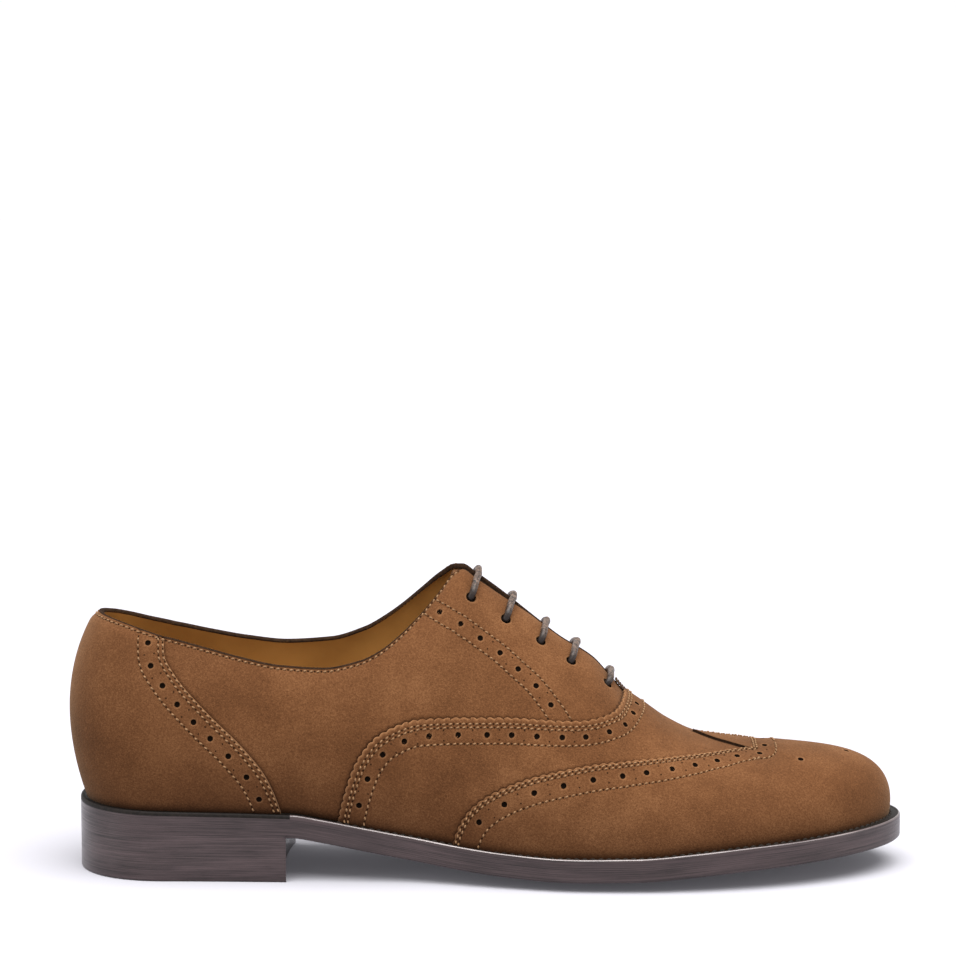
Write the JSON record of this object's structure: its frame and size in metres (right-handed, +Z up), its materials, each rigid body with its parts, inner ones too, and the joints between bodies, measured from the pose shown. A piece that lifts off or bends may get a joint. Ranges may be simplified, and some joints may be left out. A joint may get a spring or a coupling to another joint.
{
  "type": "brogue shoe",
  "caption": "Right-foot brogue Oxford in brown suede with a winged toe cap, closed lacing over a tongue, leather sole and stacked heel.",
  "frame": {"origin": "middle of the shoe's bounding box in plan, on the floor under the heel and the ball", "axes": "+X from the heel to the toe along the length, +Y to the inner (medial) side, +Z up"},
  "size_m": [0.3086, 0.1028, 0.1119],
  "materials": {
    "suede": "napped matt suede",
    "sole_leather": "waxed and polished",
    "top_piece_rubber": "satin",
    "lining_leather": "smooth satin",
    "lace_cord": "waxed round cord"
  },
  "bodies": {
    "root": {"upper": "suede", "heel_counter": "suede", "vamp": "suede", "wing_cap": "suede", "tongue": "suede", "insole": "lining_leather", "outsole": "sole_leather", "welt": "sole_leather", "heel_top_piece": "top_piece_rubber", "heel_lift_1": "sole_leather", "heel_lift_2": "sole_leather", "lace_bar_1": "lace_cord", "lace_bar_2": "lace_cord", "lace_bar_3": "lace_cord", "lace_bar_4": "lace_cord", "lace_bar_5": "lace_cord"}
  },
  "joints": []
}
